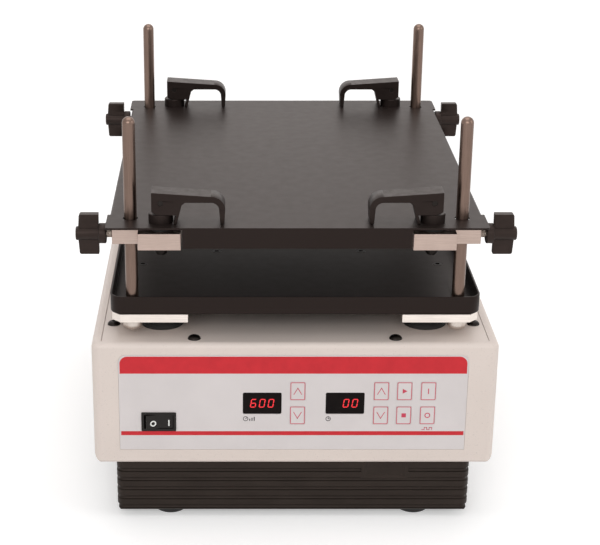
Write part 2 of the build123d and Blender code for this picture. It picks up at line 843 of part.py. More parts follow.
def make_idler_boots():
    """Ribbed rubber boots around the idler cranks, standing on the deck."""
    outer = boot_outer / 2
    inner = outer - boot_wall
    top = bar_bottom - boot_gap
    height = top - deck_top
    waist = outer - 1.4
    points = [
        (inner, 0), (outer, 0), (outer, height * 0.16), (waist, height * 0.3), (outer, height * 0.5),
        (waist, height * 0.7), (outer, height * 0.86), (outer, height), (inner, height),
    ]
    boot = revolve(Plane.XZ * make_face(Polyline(*points, close=True)), Axis.Z)
    return group(Pos(sx * idler_x, sy * idler_y + crank_y, deck_top) * boot for sx, sy in quarters)


def make_crank_shaft():
    """The main crank: a shaft with an eccentric pin that carries the middle of the tray."""
    low, _ = pulley_levels()
    head_top = bar_bottom - crank_head_gap
    head_bottom = crank_bearing_levels()[1] + crank_bearing_width + crank_head_lift
    shaft = post(crank_shaft_diameter / 2, low - counterweight_thickness - 2.0, head_bottom, 0, crank_y)
    shaft += post(crank_head / 2, head_bottom, head_top, 0, crank_y)
    return shaft + post(crank_pin / 2, head_top, tray_bottom - pin_end_gap, 0, crank_y - orbit_radius)


def make_crank_pulley():
    """The large belt pulley, with round holes through its web."""
    wheel = make_pulley(crank_pulley_radius, crank_shaft_diameter / 2 + seat_clearance, 0, crank_y)
    low, high = pulley_levels()
    circle = pulley_hole_circle / 2
    for k in range(pulley_holes):
        angle = 2 * pi * k / pulley_holes
        wheel -= post(pulley_hole_diameter / 2, low - through, high + through, circle * cos(angle),
                      crank_y + circle * sin(angle))
    return wheel


def make_counterweight():
    """A half disc that balances the tray, under the crank pulley."""
    low, _ = pulley_levels()
    top = low - 0.5
    bottom = top - counterweight_thickness + 1.0
    disc = post(counterweight_radius, bottom, top, 0, crank_y)
    disc -= slab(2 * counterweight_radius + 2, counterweight_radius + 1, bottom - 1, top + 1, 0,
                 crank_y - (counterweight_radius + 1) / 2)
    disc += post(crank_shaft_diameter / 2 + 5.0, bottom, top, 0, crank_y)
    return disc - post(crank_shaft_diameter / 2 + seat_clearance, bottom - 1, top + 1, 0, crank_y)


def make_idler_crank(sx, sy):
    """One idler: shaft, collar, crank disc and eccentric pin."""
    x = sx * idler_x
    y = sy * idler_y + crank_y
    disc_bottom = deck_top + idler_disc_lift
    disc_top = bar_bottom - idler_disc_gap
    collar_top = idler_boss_bottom() + idler_disc_lift
    crank = post(idler_shaft / 2, idler_boss_bottom() - idler_tail, disc_bottom, x, y)
    crank += post(idler_shaft / 2 + idler_collar_step, collar_top - idler_collar_height, collar_top, x, y)
    crank += post(idler_disc / 2, disc_bottom, disc_top, x, y)
    return crank + post(idler_pin / 2, disc_top, tray_bottom - pin_end_gap, x, y - orbit_radius)


def make_tray_bars():
    """The two aluminium bars under the tray, with cut outer corners and bearing bores."""
    width = bar_outer_x - bar_inner_x
    middle = (bar_outer_x + bar_inner_x) / 2
    bars = []
    for side in (-1, 1):
        bar = slab(width, tray_depth, bar_bottom, tray_bottom, side * middle, 0)
        upright = bar.edges().filter_by(Axis.Z).group_by(Axis.X)[0 if side < 0 else -1]
        bar = chamfer(upright, bar_corner_cut)
        for sy in (-1, 1):
            bar -= post(tray_bearing_outer / 2 + seat_clearance, bar_bottom - 1, tray_bottom + 1, side * idler_x,
                        sy * idler_y)
            bar -= post(rod_diameter / 2 + rod_hole_clearance, bar_bottom - 1, tray_bottom + 1, side * rod_x,
                        sy * rod_y)
        for x, y in tray_screw_places():
            if x * side > bar_inner_x:
                bar -= post(tray_screw_shank / 2 + seat_clearance, bar_bottom - 1, tray_bottom + 1, x, y)
        bars.append(bar)
    return group(bars)


def tray_screw_places():
    """Screws that hold the tray sheet to the bars and to the cross plate."""
    side = (tray_width / 2 - tray_screw_inset, tray_screw_y)
    middle = (cross_screw_x, cross_screw_y)
    return [(sx * x, sy * y) for x, y in (side, middle) for sx, sy in quarters]


def make_cross_plate():
    """The plate between the bars that holds the middle bearing."""
    plate = slab(2 * bar_inner_x, cross_plate_depth, bar_bottom, tray_bottom)
    plate -= post(centre_bearing_outer / 2 + seat_clearance, bar_bottom - 1, tray_bottom + 1)
    for side in (-1, 1):
        plate -= rounded_slab(cross_window_width, cross_window_depth, cross_window_corner, bar_bottom - through,
                              tray_bottom + through, side * cross_window_x, 0)
    for x, y in tray_screw_places():
        if abs(x) < bar_inner_x:
            plate -= post(tray_screw_shank / 2 + seat_clearance, bar_bottom - 1, tray_bottom + 1, x, y)
    return plate


def make_tray_bearings():
    """Bearings for the idler pins and for the crank pin."""
    rings = []
    gap = (bar_thickness - tray_bearing_width) / 2
    for sx, sy in quarters:
        rings.append(ring(idler_pin / 2 + running_clearance, tray_bearing_outer / 2, bar_bottom + gap,
                          tray_bottom - gap, sx * idler_x, sy * idler_y))
    gap = (bar_thickness - centre_bearing_width) / 2
    rings.append(ring(crank_pin / 2 + running_clearance, centre_bearing_outer / 2, bar_bottom + gap,
                      tray_bottom - gap))
    return group(rings)


def make_tray_pan():
    """The shallow black tray with rounded corners."""
    lip_top = tray_bottom + tray_lip
    pan = rounded_slab(tray_width, tray_depth, tray_corner, tray_bottom, lip_top)
    pan = fillet(pan.faces().sort_by(Axis.Z)[0].edges(), tray_sheet)
    pan -= rounded_slab(tray_width - 2 * tray_sheet, tray_depth - 2 * tray_sheet, tray_corner - tray_sheet,
                        tray_floor, lip_top + 1)
    for sx, sy in quarters:
        pan -= post(rod_diameter / 2 + rod_hole_clearance, tray_bottom - 1, tray_floor + 1, sx * rod_x, sy * rod_y)
    for x, y in tray_screw_places():
        pan -= post(tray_screw_head / 2 + rod_hole_clearance, tray_bottom - 1, tray_floor + 1, x, y)
    return pan


def make_tray_screws():
    """Flat screws, flush with the tray floor."""
    screws = []
    for x, y in tray_screw_places():
        head = post(tray_screw_head / 2, tray_bottom, tray_floor, x, y)
        head -= post(tray_screw_socket / 2, tray_floor - tray_screw_socket_depth, tray_floor + through, x, y)
        screws.append(head + post(tray_screw_shank / 2, bar_bottom + tray_screw_end_gap, tray_bottom, x, y))
    return group(screws)


def make_guide_rods():
    """Four polished rods with round tops."""
    radius = rod_diameter / 2
    top = cover_top + rod_above_cover
    rod = post(radius, bar_bottom, top - radius) + Pos(0, 0, top - radius) * Sphere(radius)
    rod -= post(rod_screw_shank / 2 + seat_clearance, bar_bottom - 1, bar_bottom + rod_screw_length + 1)
    return group(Pos(sx * rod_x, sy * rod_y, 0) * rod for sx, sy in quarters)


def make_rod_screws():
    """Round-headed screws that hold the rods from below."""
    head_radius = rod_screw_head / 2
    height = rod_screw_head_height
    outline = make_face([
        Line((0, 0), (head_radius, 0)),
        Line((head_radius, 0), (head_radius, -height * 0.45)),
        ThreePointArc((head_radius, -height * 0.45), (head_radius * 0.84, -height * 0.84), (head_radius * 0.45, -height)),
        Line((head_radius * 0.45, -height), (0, -height)),
        Line((0, -height), (0, 0)),
    ])
    head = Pos(0, 0, bar_bottom) * revolve(Plane.XZ * outline, Axis.Z)
    screw = head + post(rod_screw_shank / 2, bar_bottom, bar_bottom + rod_screw_length)
    return group(Pos(sx * rod_x, sy * rod_y, 0) * screw for sx, sy in quarters)


def make_cover_plate():
    """The black cover: a flat sheet with edges bent down between its four corners."""
    sheet = rounded_slab(cover_width, cover_depth, cover_corner, cover_bottom, cover_top)
    lip_bottom = cover_top - cover_lip_drop
    for side in (-1, 1):
        strip_x = side * (cover_width / 2 - cover_side_inset / 2)
        sheet -= slab(cover_side_inset, cover_side_lip, cover_bottom - 1, cover_top + 1, strip_x, 0)
        wall_x = side * (cover_width / 2 - cover_side_inset - cover_sheet / 2)
        sheet += slab(cover_sheet, cover_side_lip, lip_bottom, cover_top, wall_x, 0)
        wall_y = side * (cover_depth / 2 - cover_sheet / 2)
        sheet += slab(cover_front_lip, cover_sheet, lip_bottom, cover_top, 0, wall_y)
    top_edges = sheet.edges().filter_by(GeomType.LINE).group_by(Axis.Z)[-1]
    across = top_edges.filter_by(Axis.Y).filter_by(lambda e: abs(e.length - cover_side_lip) < 0.01)
    bends = [e for e in across if abs(abs(e.center().X) - cover_width / 2 + cover_side_inset) < 0.01]
    sheet = fillet(bends, cover_bend)
    for sx, sy in quarters:
        sheet -= post(cover_rod_hole / 2, cover_bottom - 1, cover_top + 1, sx * rod_x, sy * rod_y)
        sheet -= post(stud_diameter / 2 + cover_stud_clearance, cover_bottom - 1, cover_top + 1, sx * stud_x, sy * stud_y)
    return sheet


def make_clamp_bar():
    """One machined clamp bar for the front left corner, mirrored for the others."""
    step_width = clamp_outer_x - clamp_step_x
    neck_depth = clamp_neck_front_y - clamp_back_y
    body_width = clamp_step_x - clamp_inner_x
    body_depth = clamp_front_y - clamp_back_y
    bar = slab(step_width, neck_depth, clamp_bottom, clamp_top, -(clamp_outer_x + clamp_step_x) / 2,
               -(clamp_neck_front_y + clamp_back_y) / 2)
    bar += slab(body_width, body_depth, clamp_bottom, clamp_top, -(clamp_step_x + clamp_inner_x) / 2,
                -(clamp_front_y + clamp_back_y) / 2)
    bar -= post(rod_diameter / 2 + clamp_bore_clearance, clamp_bottom - 1, clamp_top + 1, -rod_x, -rod_y)
    bar -= post(stud_diameter / 2 + 0.05, clamp_bottom - 1, clamp_top + 1, -stud_x, -stud_y)
    return bar - bar_x(thumb_thread / 2 + thumb_clearance, -rod_x, -clamp_outer_x - 1, -rod_y, clamp_middle)


def at_corners(shape, x_sides=True):
    """The shape drawn for the front left corner, mirrored to all four."""
    copies = {}
    for sx, sy in quarters:
        piece = shape
        if sx > 0:
            piece = piece.mirror(Plane.YZ)
        if sy > 0:
            piece = piece.mirror(Plane.XZ)
        copies[(sx, sy)] = piece
    return copies


def make_spacer_washer():
    """The black washer between a clamp bar and the cover."""
    return ring(stud_diameter / 2 + cover_stud_clearance, washer_diameter / 2, clamp_top, cover_bottom, -stud_x, -stud_y)


def make_lever_hub():
    """The round seat that a cam lever presses on."""
    hub = ring(stud_diameter / 2 + cover_stud_clearance, hub_diameter / 2, cover_top, cover_top + hub_height,
               -stud_x, -stud_y)
    return chamfer(hub.faces().sort_by(Axis.Z)[-1].outer_wire().edges(), 0.5)


def make_stud():
    """The stud through cover and clamp bar, with an eye for the lever's pin."""
    pin_z = cover_top + lever_pin_height
    stud = post(stud_diameter / 2, clamp_bottom - nut_height + 2.2, pin_z, -stud_x, -stud_y)
    eye = Plane(origin=(-stud_x, -stud_y + stud_eye_thickness / 2, pin_z), x_dir=(1, 0, 0), z_dir=(0, -1, 0))
    stud += extrude(eye * Circle(stud_eye / 2), stud_eye_thickness)
    return stud - extrude(eye.offset(-1) * Circle(lever_pin_diameter / 2 + seat_clearance), stud_eye_thickness + 2)


def make_lever_pin():
    """The pin that a cam lever turns on, a little shorter than the lever is wide."""
    pin_z = cover_top + lever_pin_height
    length = lever_width - 2 * lever_pin_recess
    plane = Plane(origin=(-stud_x, -stud_y + length / 2, pin_z), x_dir=(1, 0, 0), z_dir=(0, -1, 0))
    return extrude(plane * Circle(lever_pin_diameter / 2), length)


def make_stud_nut():
    """The tapered black nut under a clamp bar."""
    bore = stud_diameter / 2 + seat_clearance
    outer = nut_diameter / 2
    tip = nut_tip_diameter / 2
    outline = make_face(Polyline(
        (0, -nut_height), (tip, -nut_height), (outer, -nut_height * 0.3), (outer, 0), (bore, 0),
        (bore, -nut_height + 2.0), (0, -nut_height + 2.0), close=True))
    return Pos(-stud_x, -stud_y, clamp_bottom) * revolve(Plane.XZ * outline, Axis.Z)


def make_lever():
    """One cam lever: a block on the pin, a sloping arm, a turned-down finger and a thin leg."""
    heel = -lever_heel
    cam_bottom = lever_pin_height - lever_cam_radius
    cam_side = lever_pin_height - sqrt(lever_cam_radius ** 2 - lever_heel ** 2)
    middle = radians(247.5)
    cam_middle = (lever_cam_radius * cos(middle), lever_pin_height + lever_cam_radius * sin(middle))
    elbow_x = lever_reach - lever_elbow
    elbow_z = lever_top - lever_slope
    knee = (lever_reach - lever_elbow * 0.28, elbow_z - lever_elbow * 0.28)
    inner_x = lever_reach - lever_finger
    inner_corner = 6.0
    inner_knee = (inner_x - inner_corner * 0.29, lever_arm_underside - inner_corner * 0.29)
    leg_top_x = lever_block + 4.2
    arch_corner = 2.0
    leg_dx = 4.3 / (lever_arm_underside - lever_tip_gap)
    outline = make_face([
        Line((heel, cam_side), (heel, lever_top)),
        Line((heel, lever_top), (elbow_x, elbow_z)),
        ThreePointArc((elbow_x, elbow_z), knee, (lever_reach, elbow_z - lever_elbow)),
        Line((lever_reach, elbow_z - lever_elbow), (lever_reach - 0.6, lever_tip_gap + 0.6)),
        Line((lever_reach - 0.6, lever_tip_gap + 0.6), (lever_reach - 1.2, lever_tip_gap)),
        Line((lever_reach - 1.2, lever_tip_gap), (inner_x + 0.8, lever_tip_gap)),
        Line((inner_x + 0.8, lever_tip_gap), (inner_x, lever_arm_underside - inner_corner)),
        ThreePointArc((inner_x, lever_arm_underside - inner_corner), inner_knee,
                      (inner_x - inner_corner, lever_arm_underside)),
        Line((inner_x - inner_corner, lever_arm_underside), (leg_top_x + arch_corner, lever_arm_underside)),
        Line((leg_top_x + arch_corner, lever_arm_underside),
             (leg_top_x - arch_corner * leg_dx, lever_arm_underside - arch_corner)),
        Line((leg_top_x - arch_corner * leg_dx, lever_arm_underside - arch_corner), (lever_block, lever_tip_gap)),
        Line((lever_block, lever_tip_gap), (lever_block - lever_leg, lever_tip_gap)),
        Line((lever_block - lever_leg, lever_tip_gap), (lever_block - 0.4, cam_bottom)),
        Line((lever_block - 0.4, cam_bottom), (0, cam_bottom)),
        ThreePointArc((0, cam_bottom), cam_middle, (heel, cam_side)),
    ])
    plane = Plane(origin=(-stud_x, -stud_y + lever_width / 2, cover_top), x_dir=(1, 0, 0), z_dir=(0, -1, 0))
    lever = extrude(plane * outline, lever_width)
    slot_half = stud_eye_thickness / 2 + lever_slot_clearance
    eye_room = stud_eye / 2 + lever_slot_clearance
    slot_low = cover_top + cam_bottom - 1
    slot_high = cover_top + lever_pin_height + eye_room
    lever -= slab(lever_heel + 1 + eye_room, 2 * slot_half, slot_low, slot_high,
                  -stud_x + (eye_room - lever_heel - 1) / 2, -stud_y)
    pin_plane = plane.offset(-1)
    hole = Pos(0, lever_pin_height) * Circle(lever_pin_diameter / 2 + clamp_bore_clearance)
    lever -= extrude(pin_plane * hole, lever_width + 2)
    return lever


def make_thumb_screw():
    """A winged knob moulded onto a steel screw, for the left side."""
    tip = -rod_x - rod_diameter / 2 - pad_gap - pad_length - pad_end_gap
    flange_start = -clamp_outer_x - thumb_start
    wing_start = flange_start - thumb_flange_length
    wing_end = wing_start - thumb_wing_length
    screw = bar_x(thumb_thread / 2, tip, flange_start - thumb_root, -rod_y, clamp_middle)
    flange = bar_x(thumb_flange / 2, flange_start, wing_start, -rod_y, clamp_middle)
    flange = chamfer(flange.edges().filter_by(GeomType.CIRCLE), thumb_flange_edge)
    hub = bar_x(thumb_hub / 2, flange_start - thumb_root, wing_end - thumb_hub_end, -rod_y, clamp_middle)
    hub = fillet(hub.faces().sort_by(Axis.X)[0].edges(), thumb_hub_edge)
    half = thumb_wing_span / 2
    thick = thumb_wing_tip / 2
    waist = thumb_wing_waist / 2
    profile = make_face([
        Line((-thick, half), (thick, half)),
        ThreePointArc((thick, half), (waist, 0), (thick, -half)),
        Line((thick, -half), (-thick, -half)),
        ThreePointArc((-thick, -half), (-waist, 0), (-thick, half)),
    ])
    wing = Pos(wing_end, -rod_y, clamp_middle) * (Plane.YZ * extrude(profile, thumb_wing_length))
    outline = make_face(Polyline(
        (wing_start, -half), (wing_end + thumb_wing_taper, -half), (wing_end, 0),
        (wing_end + thumb_wing_taper, half), (wing_start, half), close=True))
    outline = fillet(outline.vertices().group_by(Axis.X)[1], thumb_wing_corner)
    side = Pos(0, -rod_y + thick, clamp_middle) * (Plane.XZ * extrude(outline, thumb_wing_tip))
    return screw + flange + hub + (wing & side)


def make_screw_pad():
    """The nylon pad at the screw's tip, which presses on the rod."""
    start = -rod_x - rod_diameter / 2 - pad_gap
    return bar_x(thumb_thread / 2 - pad_side_clearance, start, start - pad_length, -rod_y, clamp_middle)


save(make_feet(), "feet")
save(make_base_pan(), "base_pan")
save(make_housing_shell(), "housing_shell")
save(make_top_deck(), "top_deck")
save(make_case_screws(), "case_screws")
save(make_panel_overlay(), "panel_overlay")
save(make_displays(), "displays")
save(make_control_board(), "control_board")
save(make_switch_bezel(), "switch_bezel")
save(make_rocker(), "switch_rocker")
save(make_power_inlet(), "power_inlet")
save(make_power_supply(), "power_supply")
save(make_motor(), "motor")
save(make_motor_pulley(), "motor_pulley")
save(make_drive_belt(), "drive_belt")
save(make_mechanism_plate(), "mechanism_plate")
save(make_plate_posts(), "plate_posts")
save(make_shaft_bearings(), "shaft_bearings")
save(make_idler_boots(), "idler_boots")
save(make_crank_shaft(), "crank_shaft")
save(make_crank_pulley(), "crank_pulley")
save(make_counterweight(), "counterweight")
save(make_tray_pan(), "tray_pan")
save(make_tray_bars(), "tray_bars")
save(make_cross_plate(), "cross_plate")
save(make_tray_bearings(), "tray_bearings")
save(make_tray_screws(), "tray_screws")
save(make_guide_rods(), "guide_rods")
save(make_rod_screws(), "rod_screws")
save(make_cover_plate(), "cover_plate")

key_names = ["speed_up", "speed_down", "time_up", "time_down", "run", "stop", "pulse_on", "pulse_off"]
for name, (x, z) in zip(key_names, key_places()):
    save(Pos(x, 0, z) * make_key(), f"key_{name}")

save(group(at_corners(make_clamp_bar()).values()), "clamp_bars")
save(group(at_corners(make_spacer_washer()).values()), "spacer_washers")
save(group(at_corners(make_lever_hub()).values()), "lever_hubs")
save(group(at_corners(make_stud()).values()), "lever_studs")
save(group(at_corners(make_lever_pin()).values()), "lever_pins")
save(group(at_corners(make_stud_nut()).values()), "stud_nuts")
for corner, shape in at_corners(make_lever()).items():
    save(shape, f"cam_lever_{corner_names[corner]}")
for corner, shape in at_corners(make_thumb_screw()).items():
    save(shape, f"thumb_screw_{corner_names[corner]}")
for corner, shape in at_corners(make_screw_pad()).items():
    save(shape, f"screw_pad_{corner_names[corner]}")
for corner in quarters:
    save(make_idler_crank(*corner), f"idler_crank_{corner_names[corner]}")
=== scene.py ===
import math

import bmesh
import bpy
from mathutils import Matrix, Vector


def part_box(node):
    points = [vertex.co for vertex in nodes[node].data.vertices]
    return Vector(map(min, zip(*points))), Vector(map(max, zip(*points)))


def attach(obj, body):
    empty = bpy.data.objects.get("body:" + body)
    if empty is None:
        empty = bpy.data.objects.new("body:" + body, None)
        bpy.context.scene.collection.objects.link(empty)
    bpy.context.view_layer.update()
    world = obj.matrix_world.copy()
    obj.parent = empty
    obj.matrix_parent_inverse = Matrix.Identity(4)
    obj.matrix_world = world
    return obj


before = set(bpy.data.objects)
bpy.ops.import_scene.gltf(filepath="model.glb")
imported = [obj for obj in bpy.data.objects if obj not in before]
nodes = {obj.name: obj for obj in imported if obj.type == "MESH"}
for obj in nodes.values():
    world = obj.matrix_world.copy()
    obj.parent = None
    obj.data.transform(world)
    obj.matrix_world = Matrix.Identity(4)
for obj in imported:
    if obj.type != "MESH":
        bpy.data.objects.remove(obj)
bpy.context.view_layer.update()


mm = 0.001
CORNERS = ("front_left", "front_right", "back_left", "back_right")

KEYS = ("speed_up", "speed_down", "time_up", "time_down", "run", "stop", "pulse_on", "pulse_off")
WINDOW_WIDTH = 29.2 * mm     # one display window
KEY_LINE = 0.55 * mm         # borders and signs of the keys
SIGN_LINE = 0.5 * mm         # small signs on the film


def srgb(red, green, blue):
    """A screen colour, 0 to 255, as the linear colour that shaders use."""
    def linear(value):
        v = value / 255
        return v / 12.92 if v <= 0.04045 else ((v + 0.055) / 1.055) ** 2.4
    return (linear(red), linear(green), linear(blue), 1.0)


def lighter(colour, factor):
    """The same colour, made lighter or darker."""
    return tuple(min(c * factor, 1.0) for c in colour[:3]) + (1.0,)


WHITE = (1.0, 1.0, 1.0, 1.0)
WARM = srgb(255, 226, 218)


# Shader building


class Shader:
    """One material with its node tree, in the object's own coordinates."""

    def __init__(self, name):
        self.material = bpy.data.materials.new(name)
        self.material.use_nodes = True
        self.tree = self.material.node_tree
        self.bsdf = self.tree.nodes["Principled BSDF"]
        self.coords = self.add("ShaderNodeTexCoord").outputs["Object"]

    def add(self, kind, **values):
        node = self.tree.nodes.new(kind)
        for key, value in values.items():
            setattr(node, key, value)
        return node

    def link(self, source, target):
        self.tree.links.new(source, target)

    def set(self, **values):
        for key, value in values.items():
            self.bsdf.inputs[key.replace("_", " ")].default_value = value

    def stretched(self, stretch):
        """Coordinates scaled by axis, for streaks."""
        mapping = self.add("ShaderNodeMapping")
        mapping.inputs["Scale"].default_value = stretch
        self.link(self.coords, mapping.inputs["Vector"])
        return mapping.outputs["Vector"]

    def noise(self, size, detail=3.0, rough=0.55, stretch=None):
        """Noise whose grains are about that many metres across."""
        node = self.add("ShaderNodeTexNoise")
        node.inputs["Scale"].default_value = 1 / size
        node.inputs["Detail"].default_value = detail
        node.inputs["Roughness"].default_value = rough
        self.link(self.stretched(stretch) if stretch else self.coords, node.inputs["Vector"])
        return node.outputs["Fac"]

    def spots(self, size):
        """Distance to the nearest of many points, for peel and pits."""
        node = self.add("ShaderNodeTexVoronoi")
        node.inputs["Scale"].default_value = 1 / size
        self.link(self.coords, node.inputs["Vector"])
        return node.outputs["Distance"]

    def remap(self, value, low, high, new_low=0.0, new_high=1.0):
        """A varying value moved from one range to another, and held inside it."""
        node = self.add("ShaderNodeMapRange")
        limits = {"From Min": low, "From Max": high, "To Min": new_low, "To Max": new_high}
        for socket, number in limits.items():
            node.inputs[socket].default_value = number
        self.link(value, node.inputs["Value"])
        return node.outputs["Result"]

    def spread(self, noise, new_low=0.0, new_high=1.0):
        """The band that noise mostly lies in, spread over a range."""
        return self.remap(noise, 0.3, 0.7, new_low, new_high)

    def axis(self, name):
        """One coordinate of the surface point, in metres."""
        node = self.add("ShaderNodeSeparateXYZ")
        self.link(self.coords, node.inputs["Vector"])
        return node.outputs[name]

    def math(self, operation, *values):
        node = self.add("ShaderNodeMath", operation=operation)
        for socket, value in zip(node.inputs, values):
            if isinstance(value, (int, float)):
                socket.default_value = value
            else:
                self.link(value, socket)
        return node.outputs["Value"]

    def mix(self, factor, first, second):
        """Two colours mixed by a varying factor."""
        node = self.add("ShaderNodeMix", data_type="RGBA")
        self.link(factor, node.inputs["Factor"])
        for socket, colour in zip((node.inputs[6], node.inputs[7]), (first, second)):
            if isinstance(colour, tuple):
                socket.default_value = colour
            else:
                self.link(colour, socket)
        return node.outputs[2]

    def bump(self, height, distance):
        """Surface relief of that depth in metres, added to what was there."""
        node = self.add("ShaderNodeBump")
        node.inputs["Strength"].default_value = 1.0
        node.inputs["Distance"].default_value = distance
        self.link(height, node.inputs["Height"])
        old = self.bsdf.inputs["Normal"].links
        if old:
            self.link(old[0].from_socket, node.inputs["Normal"])
        self.link(node.outputs["Normal"], self.bsdf.inputs["Normal"])

    def colour(self, socket):
        self.link(socket, self.bsdf.inputs["Base Color"])

    def roughness(self, socket):
        self.link(socket, self.bsdf.inputs["Roughness"])


def powder_coat(name, colour, rough, peel, shade=0.06, gloss=0.5, tint=WHITE):
    """Sprayed and baked paint: fine orange peel, faint cloudiness and a few dust nibs."""
    s = Shader(name)
    cloud = s.noise(60 * mm, detail=2.0)
    speck = s.noise(1.1 * mm, detail=2.0)
    tone = s.mix(s.spread(cloud), lighter(colour, 1 - shade), lighter(colour, 1 + shade))
    s.colour(s.mix(s.remap(speck, 0.62, 0.8), tone, lighter(colour, 0.82)))
    s.roughness(s.spread(s.noise(9 * mm), rough - 0.02, rough + 0.02))
    s.set(Specular_IOR_Level=gloss, Specular_Tint=tint)
    s.bump(s.noise(1.6 * mm, detail=2.0), peel)
    s.bump(s.spots(0.8 * mm), peel * 0.35)
    return s.material


def moulded_plastic(name, colour, rough, grain, gloss=0.4, tint=WHITE):
    """Moulded plastic with spark-eroded grain and faint flow marks."""
    s = Shader(name)
    flow = s.noise(26 * mm, detail=3.0, stretch=(1.0, 1.0, 2.6))
    s.colour(s.mix(s.remap(flow, 0.3, 0.72), lighter(colour, 0.85), lighter(colour, 1.18)))
    s.roughness(s.spread(s.noise(5 * mm), rough - 0.05, rough + 0.06))
    s.set(Specular_IOR_Level=gloss, Specular_Tint=tint)
    s.bump(s.spots(0.45 * mm), grain)
    s.bump(s.noise(1.3 * mm), grain * 0.5)
    return s.material


def rubber(name, colour):
    """Matt rubber with bloom and fine pits."""
    s = Shader(name)
    bloom = s.noise(7 * mm, detail=4.0)
    s.colour(s.mix(s.remap(bloom, 0.42, 0.75), colour, lighter(colour, 1.9)))
    s.roughness(s.spread(bloom, 0.62, 0.8))
    s.bump(s.spots(0.6 * mm), 0.02 * mm)
    return s.material


def brushed_metal(name, colour, rough, stretch, line=0.012, size=2.0):
    """Metal with tool or grinding lines along one axis."""
    s = Shader(name)
    lines = s.noise(size * mm, detail=5.0, rough=0.7, stretch=stretch)
    cloud = s.noise(22 * mm)
    tone = s.mix(s.remap(lines, 0.3, 0.72), lighter(colour, 0.78), lighter(colour, 1.12))
    s.colour(s.mix(s.remap(cloud, 0.35, 0.75, 0.0, 0.35), tone, lighter(colour, 0.72)))
    s.set(Metallic=1.0)
    s.roughness(s.spread(lines, rough - 0.07, rough + 0.09))
    s.bump(lines, line * mm)
    return s.material


def printed_film():
    """Pale polyester film with a satin back-printed face."""
    s = Shader("printed_film")
    base = srgb(219, 212, 211)
    s.colour(s.mix(s.spread(s.noise(38 * mm)), lighter(base, 0.97), lighter(base, 1.03)))
    s.roughness(s.spread(s.noise(4 * mm), 0.34, 0.44))
    s.bump(s.noise(0.5 * mm), 0.006 * mm)
    return s.material


def ink(name, colour):
    """Screen-printed ink with slight density changes."""
    s = Shader(name)
    s.colour(s.mix(s.spread(s.noise(11 * mm)), lighter(colour, 0.94), lighter(colour, 1.06)))
    s.roughness(s.spread(s.noise(3 * mm), 0.36, 0.45))
    s.set(Specular_IOR_Level=0.2)
    s.bump(s.noise(0.5 * mm), 0.005 * mm)
    return s.material


def lit_ink(name, colour, strength):
    """A lit display segment, its glow a little uneven from place to place."""
    s = Shader(name)
    glow = s.mix(s.spread(s.noise(1.4 * mm)), lighter(colour, 0.8), colour)
    s.colour(glow)
    s.link(glow, s.bsdf.inputs["Emission Color"])
    s.set(Emission_Strength=strength)
    return s.material


def smoked_window():
    """Dark polished window over a display."""
    s = Shader("smoked_window")
    base = srgb(18, 13, 12)
    s.colour(s.mix(s.remap(s.noise(6 * mm), 0.35, 0.7), base, lighter(base, 1.6)))
    s.roughness(s.spread(s.noise(3 * mm), 0.1, 0.18))
    s.set(Specular_IOR_Level=0.06)
    s.bump(s.noise(2 * mm), 0.004 * mm)
    return s.material


def circuit_board():
    """Green laminate with traces."""
    s = Shader("circuit_board")
    green = srgb(24, 92, 58)
    traces = s.noise(3 * mm, detail=0.0, stretch=(1.0, 1.0, 6.0))
    s.colour(s.mix(s.remap(traces, 0.48, 0.52), green, lighter(green, 1.5)))
    s.roughness(s.remap(traces, 0.4, 0.6, 0.3, 0.45))
    s.bump(traces, 0.03 * mm)
    return s.material


def knob_with_stud(plastic_colour, steel_colour, split):
    """Black moulding beyond a distance from the middle, bright thread nearer in, with painted shade in the
    thread's grooves.
    """
    s = Shader("knob_with_stud")
    far = s.math("GREATER_THAN", s.math("ABSOLUTE", s.axis("X")), split)
    flow = s.noise(9 * mm)
    black = s.mix(s.spread(flow), lighter(plastic_colour, 0.85), lighter(plastic_colour, 1.2))
    thread = s.math("PINGPONG", s.math("MULTIPLY", s.axis("X"), 1 / mm), 0.5)
    # Painted shade: the steel is darkened towards the bottom of each thread groove, where the relief is
    # lowest.
    steel_with_groove_shade = s.mix(s.remap(thread, 0.0, 0.5), lighter(steel_colour, 0.55), steel_colour)
    s.colour(s.mix(far, steel_with_groove_shade, black))
    s.link(s.math("SUBTRACT", 1.0, far), s.bsdf.inputs["Metallic"])
    s.roughness(s.remap(far, 0.0, 1.0, 0.35, 0.42))
    s.set(Specular_IOR_Level=0.25, Specular_Tint=WARM)
    s.bump(s.math("MULTIPLY", thread, s.math("SUBTRACT", 1.0, far)), 0.3 * mm)
    s.bump(s.spots(0.5 * mm), 0.015 * mm)
    return s.material


# Materials of the object

STEEL = srgb(172, 160, 150)
RED = srgb(207, 48, 56)

